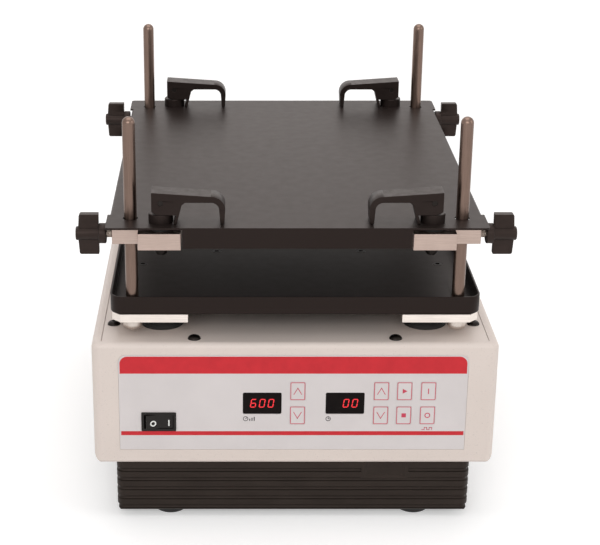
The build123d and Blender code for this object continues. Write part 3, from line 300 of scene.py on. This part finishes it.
knob_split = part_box("clamp_bars")[1].x + 4.3 * mm
looks = {
    "housing": powder_coat("cream_powder_coat", srgb(226, 213, 205), 0.42, 0.035 * mm, shade=0.02),
    "black_paint": powder_coat("black_powder_coat", srgb(34, 28, 26), 0.4, 0.012 * mm,
                               shade=0.03, gloss=0.16, tint=WARM),
    "base": moulded_plastic("ribbed_moulding", srgb(42, 37, 33), 0.42, 0.03 * mm, gloss=0.2, tint=WARM),
    "lever": moulded_plastic("lever_moulding", srgb(32, 26, 24), 0.38, 0.02 * mm, gloss=0.2, tint=WARM),
    "bezel": moulded_plastic("switch_moulding", srgb(30, 26, 24), 0.34, 0.015 * mm, gloss=0.22),
    "rubber": rubber("black_rubber", srgb(26, 25, 25)),
    "rod": brushed_metal("ground_rod", srgb(124, 104, 94), 0.3, (6.0, 6.0, 0.12)),
    "bar": brushed_metal("machined_bar", srgb(236, 226, 218), 0.36, (0.08, 5.0, 5.0)),
    "clamp": brushed_metal("machined_clamp", srgb(186, 166, 156), 0.38, (0.1, 5.0, 5.0), line=0.02),
    "bright": brushed_metal("zinc_plate", srgb(206, 196, 188), 0.32, (3.0, 3.0, 3.0)),
    "oxide": brushed_metal("black_oxide", srgb(46, 42, 40), 0.4, (4.0, 4.0, 4.0)),
    "cast": powder_coat("cast_iron_paint", srgb(96, 98, 100), 0.6, 0.12 * mm),
    "motor": powder_coat("motor_paint", srgb(58, 60, 64), 0.45, 0.05 * mm),
    "nylon": moulded_plastic("natural_nylon", srgb(226, 222, 210), 0.5, 0.01 * mm),
    "film": printed_film(),
    "window": smoked_window(),
    "board": circuit_board(),
    "knob": knob_with_stud(srgb(38, 31, 28), STEEL, knob_split),
    "red_ink": ink("red_ink", RED),
    "rose_ink": ink("rose_ink", srgb(206, 74, 96)),
    "dark_ink": ink("dark_ink", srgb(58, 54, 56)),
    "white_ink": ink("white_ink", srgb(232, 232, 228)),
    "lit": lit_ink("lit_segment", srgb(226, 40, 48), 0.85),
}

node_looks = {
    "housing": ("housing_shell", "top_deck"),
    "black_paint": ("tray_pan", "cover_plate"),
    "base": ("base_pan",),
    "lever": tuple(f"cam_lever_{c}" for c in CORNERS) + ("lever_hubs",),
    "bezel": ("switch_bezel", "switch_rocker", "power_inlet"),
    "rubber": ("feet", "idler_boots", "drive_belt", "spacer_washers"),
    "rod": ("guide_rods", "crank_shaft", "shaft_bearings", "tray_bearings") +
           tuple(f"idler_crank_{c}" for c in CORNERS),
    "bar": ("tray_bars", "cross_plate", "plate_posts", "crank_pulley", "motor_pulley"),
    "clamp": ("clamp_bars",),
    "bright": ("rod_screws", "power_supply", "counterweight"),
    "oxide": ("case_screws", "tray_screws", "lever_studs", "stud_nuts", "lever_pins"),
    "cast": ("mechanism_plate",),
    "motor": ("motor",),
    "nylon": tuple(f"screw_pad_{c}" for c in CORNERS),
    "film": ("panel_overlay",) + tuple(n for n in nodes if n.startswith("key_")),
    "window": ("displays",),
    "board": ("control_board",),
    "knob": tuple(f"thumb_screw_{c}" for c in CORNERS),
}


def dress(node, look):
    """Give a node its material."""
    mesh = nodes[node].data
    mesh.materials.clear()
    mesh.materials.append(looks[look])


def soften(node, width):
    """Break a node's sharp edges with a narrow round, as moulds and deburring leave them."""
    weld = nodes[node].modifiers.new("weld", "WELD")
    weld.merge_threshold = 0.001 * mm
    round_edge = nodes[node].modifiers.new("round", "BEVEL")
    round_edge.width = width
    round_edge.segments = 2
    round_edge.limit_method = "ANGLE"
    round_edge.angle_limit = math.radians(40)
    round_edge.harden_normals = True


for look, members in node_looks.items():
    for member in members:
        dress(member, look)

for corner in CORNERS:
    soften(f"cam_lever_{corner}", 0.3 * mm)
    soften(f"thumb_screw_{corner}", 0.25 * mm)
for name, width in (("clamp_bars", 0.4), ("tray_bars", 0.4), ("switch_rocker", 0.3), ("stud_nuts", 0.3),
                    ("cover_plate", 0.35), ("tray_pan", 0.35)):
    soften(name, width * mm)


# Flat printed work on the panel. Outlines are (x, z) in metres, seen from the front.


def rounded(x0, x1, z0, z1, radii, steps=8):
    """A rectangle with a radius for each corner, from lower left and anticlockwise."""
    middles = ((x0, z0, 1, 1), (x1, z0, -1, 1), (x1, z1, -1, -1), (x0, z1, 1, -1))
    points = []
    for k, ((x, z, inward_x, inward_z), radius) in enumerate(zip(middles, radii)):
        start = math.pi + k * math.pi / 2
        for i in range(steps + 1):
            angle = start + i / steps * math.pi / 2
            points.append((x + inward_x * radius + radius * math.cos(angle),
                           z + inward_z * radius + radius * math.sin(angle)))
            if radius == 0:
                break
    return points


def stroke(start, end, width):
    """A straight line with square ends."""
    a, b = Vector(start), Vector(end)
    along = (b - a).normalized() * width / 2
    side = Vector((-along.y, along.x))
    return [tuple(p) for p in (a - along - side, b + along - side, b + along + side, a - along + side)]


def disc(x, z, radius, steps=32):
    """A round outline."""
    return [(x + radius * math.cos(2 * math.pi * i / steps), z + radius * math.sin(2 * math.pi * i / steps))
            for i in range(steps)]


def print_on(name, front, outlines, look, body, rings=(), depth=0.05 * mm, place=Matrix()):
    """Thin ink shapes that stand a hair proud of a face whose front is at that y."""
    bm = bmesh.new()
    y0 = front - depth
    for outline in outlines:
        near = [bm.verts.new((x, y0, z)) for x, z in outline]
        far = [bm.verts.new((x, front, z)) for x, z in outline]
        bm.faces.new(near)
        bm.faces.new(list(reversed(far)))
        for i in range(len(near)):
            j = (i + 1) % len(near)
            bm.faces.new((near[i], far[i], far[j], near[j]))
    for outer, inner in rings:
        loops = [[bm.verts.new((x, y, z)) for x, z in loop] for loop in (outer, inner) for y in (y0, front)]
        outer_near, outer_far, inner_near, inner_far = loops
        for i in range(len(outer)):
            j = (i + 1) % len(outer)
            bm.faces.new((outer_near[i], outer_near[j], inner_near[j], inner_near[i]))
            bm.faces.new((outer_far[j], outer_far[i], inner_far[i], inner_far[j]))
            bm.faces.new((outer_near[j], outer_near[i], outer_far[i], outer_far[j]))
            bm.faces.new((inner_near[i], inner_near[j], inner_far[j], inner_far[i]))
    bmesh.ops.recalc_face_normals(bm, faces=bm.faces[:])
    mesh = bpy.data.meshes.new(name)
    bm.to_mesh(mesh)
    bm.free()
    mesh.transform(place)
    piece = bpy.data.objects.new(name, mesh)
    bpy.context.scene.collection.objects.link(piece)
    mesh.materials.append(looks[look])
    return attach(piece, body)


def middle(node):
    """Centre of a node's box."""
    low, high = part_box(node)
    return (low + high) / 2


def print_panel():
    """The red band, the red line and their pale edges."""
    low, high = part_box("panel_overlay")
    edge = 1.0 * mm
    band_depth = 15.1 * mm
    corner = 6.0 * mm
    band = rounded(low.x + edge, high.x - edge, high.z - band_depth, high.z - edge, (0, 0, corner, corner))
    line_low = low.z + 12.1 * mm
    line_thick = 3.4 * mm
    line = rounded(low.x + edge, high.x - edge, line_low, line_low + line_thick, (0, 0, 0, 0))
    print_on("red_band", low.y, [band, line], "red_ink", "root")


SEGMENTS = {"0": "abcdef", "6": "acdefg"}


def digit(char, x, z, height, width, thick, slant):
    """Seven-segment numeral, as outlines."""
    half_w, half_h = width / 2 - thick / 2, height / 2 - thick / 2
    ends = {"a": ((-half_w, half_h), (half_w, half_h)), "g": ((-half_w, 0), (half_w, 0)),
            "d": ((-half_w, -half_h), (half_w, -half_h)), "f": ((-half_w, half_h), (-half_w, 0)),
            "b": ((half_w, half_h), (half_w, 0)), "e": ((-half_w, 0), (-half_w, -half_h)),
            "c": ((half_w, 0), (half_w, -half_h))}
    outlines = []
    for name in SEGMENTS[char]:
        a, b = (Vector(p) for p in ends[name])
        along = (b - a).normalized()
        side = Vector((-along.y, along.x)) * thick / 2
        gap = along * thick * 0.12
        a, b = a + gap, b - gap
        tip = along * thick / 2
        shape = (a, a + tip - side, b - tip - side, b, b - tip + side, a + tip + side)
        outlines.append([(x + p.x + p.y * slant, z + p.y) for p in shape])
    return outlines


def light_displays():
    """The red numerals behind the two windows."""
    low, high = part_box("displays")
    z = (low.z + high.z) / 2
    pitch = 6.7 * mm
    height, width, thick = 7.2 * mm, 4.4 * mm, 0.75 * mm
    slant = 0.16
    time_shift = 0.8 * mm
    speed_x = low.x + WINDOW_WIDTH / 2
    time_x = high.x - WINDOW_WIDTH / 2 + time_shift
    for name, x, slots in (("speed_numerals", speed_x, {-1: "6", 0: "0", 1: "0"}),
                           ("time_numerals", time_x, {0: "0", 1: "0"})):
        shapes = []
        for slot, char in slots.items():
            shapes += digit(char, x + slot * pitch, z, height, width, thick, slant)
        print_on(name, low.y, shapes, "lit", "root", depth=0.03 * mm)


def key_face(key):
    """Outline of one key's border, and the key's middle and front."""
    low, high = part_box(f"key_{key}")
    inset, radius = 0.25 * mm, 0.9 * mm
    outer = rounded(low.x + inset, high.x - inset, low.z + inset, high.z - inset, (radius,) * 4)
    inset += KEY_LINE
    inner = rounded(low.x + inset, high.x - inset, low.z + inset, high.z - inset, (radius / 2,) * 4)
    return (outer, inner), (low.x + high.x) / 2, (low.z + high.z) / 2, low.y


def chevron(x, z, up):
    """An arrowhead made of two strokes."""
    reach, rise = 2.9 * mm, 2.6 * mm * up
    return [stroke((x + side * reach, z - rise), (x, z + rise), KEY_LINE) for side in (-1, 1)]


def print_keys():
    """Borders and signs of the eight keys."""
    play_back, play_point, play_half = 1.5 * mm, 2.2 * mm, 2.0 * mm
    stop_half = 1.7 * mm
    bar_half = 1.9 * mm
    ring_radius = 2.2 * mm
    sign_line = KEY_LINE * 1.3
    for key in KEYS:
        border, x, z, front = key_face(key)
        shapes, rings = [], [border]
        if key.endswith("_up"):
            shapes = chevron(x, z, 1)
        elif key.endswith("_down"):
            shapes = chevron(x, z, -1)
        elif key == "run":
            shapes = [[(x - play_back, z - play_half), (x + play_point, z), (x - play_back, z + play_half)]]
        elif key == "stop":
            shapes = [rounded(x - stop_half, x + stop_half, z - stop_half, z + stop_half, (0,) * 4)]
        elif key == "pulse_on":
            shapes = [stroke((x, z - bar_half), (x, z + bar_half), sign_line)]
        else:
            rings.append((disc(x, z, ring_radius), disc(x, z, ring_radius - sign_line)))
        print_on(f"{key}_print", front, shapes, "rose_ink", f"{key}_button", rings=rings)


def print_signs():
    """Small signs below the displays and below the last column of keys."""
    film_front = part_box("panel_overlay")[0].y
    low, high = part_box("displays")
    sign_z = low.z - 4.2 * mm
    radius = 2.0 * mm
    speed_x = low.x + radius
    dial = (disc(speed_x, sign_z, radius), disc(speed_x, sign_z, radius - SIGN_LINE))
    hand_reach = 0.8 * mm
    hand = stroke((speed_x, sign_z), (speed_x + hand_reach, sign_z + hand_reach), SIGN_LINE)
    bar_foot = sign_z - 1.4 * mm
    bar_thick = SIGN_LINE * 1.6
    bars = []
    for k in range(3):
        bar_x = speed_x + (3.2 + 1.7 * k) * mm
        bar_height = (1.0 + 0.8 * k) * mm
        bars.append(stroke((bar_x, bar_foot), (bar_x, bar_foot + bar_height), bar_thick))
    print_on("speed_sign", film_front, [hand] + bars, "dark_ink", "root", rings=[dial])
    time_x = high.x - WINDOW_WIDTH + radius
    clock = (disc(time_x, sign_z, radius), disc(time_x, sign_z, radius - SIGN_LINE))
    minute_hand, hour_hand = 1.2 * mm, 0.9 * mm
    hands = [stroke((time_x, sign_z), (time_x, sign_z + minute_hand), SIGN_LINE),
             stroke((time_x, sign_z), (time_x + hour_hand, sign_z), SIGN_LINE)]
    print_on("time_sign", film_front, hands, "dark_ink", "root", rings=[clock])
    pulse = middle("key_pulse_off")
    wave_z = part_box("key_pulse_off")[0].z - 3.6 * mm
    step, rise = 1.9 * mm, 1.8 * mm
    wave = []
    for k in range(4):
        x = pulse.x + (k - 2) * step
        level = wave_z + (rise if k % 2 else 0) - rise / 2
        wave.append(stroke((x, level), (x + step, level), SIGN_LINE))
        wave.append(stroke((x + step, wave_z - rise / 2), (x + step, wave_z + rise / 2), SIGN_LINE))
    print_on("pulse_sign", film_front, wave, "rose_ink", "root")


def print_rocker():
    """The O and I marks on the two facets of the switch's rocker."""
    bezel = middle("switch_bezel")
    pivot_depth = 4.3 * mm      # behind the film's face
    mark_drop = 1.2 * mm        # of the marks below the bezel's middle
    half_width = 10.5 * mm      # of the rocker
    rise = 5.6 * mm             # of the rocker's ends from its pivot
    dip = 1.2 * mm              # of its middle below its ends
    tilt = math.radians(7.4)
    pivot = Vector((bezel.x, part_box("panel_overlay")[0].y + pivot_depth, bezel.z - mark_drop))
    slope = math.atan2(dip, half_width)
    ring = (disc(0, 0, 2.4 * mm), disc(0, 0, 1.4 * mm))
    bar_half, bar_thick = 2.1 * mm, 1.0 * mm
    bar = stroke((0, -bar_half), (0, bar_half), bar_thick)
    marks = (("rocker_off_mark", -4.9 * mm, [], [ring]),
             ("rocker_on_mark", 7.1 * mm, [bar], []))
    for name, x, shapes, rings in marks:
        spot = Matrix.Rotation(tilt, 4, "Z") @ Vector((x, dip * (1 - abs(x) / half_width) - rise, 0))
        lean = tilt + slope if x < 0 else tilt - slope
        place = Matrix.Translation(pivot + spot) @ Matrix.Rotation(lean, 4, "Z")
        print_on(name, 0.0, shapes, "white_ink", "rocker", rings=rings, place=place)


print_panel()
light_displays()
print_keys()
print_signs()
print_rocker()


# Stage


def white_floor():
    """A pale floor that reads as white paper and still takes a soft shadow."""
    s = Shader("floor_paper")
    s.colour(s.mix(s.spread(s.noise(0.4)), (0.80, 0.80, 0.80, 1.0), (0.82, 0.82, 0.82, 1.0)))
    s.set(Roughness=0.9)
    s.bsdf.inputs["Emission Color"].default_value = WHITE
    path = s.add("ShaderNodeLightPath")
    seen = s.math("MAXIMUM", path.outputs["Is Camera Ray"], path.outputs["Is Glossy Ray"])
    reach = s.add("ShaderNodeVectorMath", operation="LENGTH")
    s.link(s.coords, reach.inputs[0])
    near, far = 1.2, 4.0
    glow_near, glow_far = 0.36, 0.75
    fade = s.remap(reach.outputs["Value"], near, far, glow_near, glow_far)
    s.link(s.math("MULTIPLY", seen, fade), s.bsdf.inputs["Emission Strength"])
    return s.material


def make_stage():
    """The floor, which also fills the background."""
    mesh = bpy.data.meshes.new("floor")
    half = 8.0
    corners = [(-half, -half, 0), (half, -half, 0), (half, half, 0), (-half, half, 0)]
    mesh.from_pydata(corners, [], [(0, 1, 2, 3)])
    mesh.materials.append(white_floor())
    floor = bpy.data.objects.new("floor", mesh)
    bpy.context.scene.collection.objects.link(floor)


def area_light(name, place, target, size, power, colour=(1.0, 1.0, 1.0)):
    """A soft box that faces a point."""
    lamp = bpy.data.lights.new(name, "AREA")
    lamp.shape = "RECTANGLE"
    lamp.size, lamp.size_y = size
    lamp.energy = power
    lamp.color = colour
    rig = bpy.data.objects.new(name, lamp)
    rig.location = place
    rig.rotation_euler = (Vector(target) - Vector(place)).to_track_quat("-Z", "Y").to_euler()
    bpy.context.scene.collection.objects.link(rig)


def make_light():
    """An even pale world, brighter where it is seen or mirrored, and four soft boxes."""
    world = bpy.data.worlds.new("studio")
    bpy.context.scene.world = world
    world.use_nodes = True
    tree = world.node_tree
    background = tree.nodes["Background"]
    background.inputs["Color"].default_value = (1.0, 0.99, 0.98, 1.0)
    path = tree.nodes.new("ShaderNodeLightPath")
    seen = path.outputs["Is Camera Ray"]
    for ray in ("Is Glossy Ray", "Is Transmission Ray"):
        either = tree.nodes.new("ShaderNodeMath")
        either.operation = "MAXIMUM"
        tree.links.new(seen, either.inputs[0])
        tree.links.new(path.outputs[ray], either.inputs[1])
        seen = either.outputs["Value"]
    strength = tree.nodes.new("ShaderNodeMapRange")
    strength.inputs["To Min"].default_value = 0.5
    strength.inputs["To Max"].default_value = 1.0
    tree.links.new(seen, strength.inputs["Value"])
    tree.links.new(strength.outputs["Result"], background.inputs["Strength"])
    area_light("top_box", (0.0, 0.1, 1.9), (0, 0, 0.1), (1.6, 1.6), 13)
    area_light("front_box", (-0.3, -2.2, 1.3), (0, 0, 0.12), (1.8, 1.0), 17)
    area_light("right_box", (1.9, -0.6, 1.0), (0, 0, 0.15), (1.0, 1.0), 5)
    area_light("back_box", (0.0, 2.4, 1.25), (0, 0, 0.2), (3.0, 1.4), 8, (1.0, 0.86, 0.8))


def make_camera():
    """The photograph's view, from the front and a little above."""
    camera = bpy.data.cameras.new("camera")
    camera.sensor_width = 36.0
    camera.lens = 95.66
    camera.shift_x = 0.121
    rig = bpy.data.objects.new("camera", camera)
    rig.location = (-0.0511, -1.2755, 0.6291)
    rig.rotation_euler = (math.radians(69.01), 0, 0)
    bpy.context.scene.collection.objects.link(rig)
    bpy.context.scene.camera = rig


make_stage()
make_light()
make_camera()
bpy.context.scene.view_settings.view_transform = "Standard"
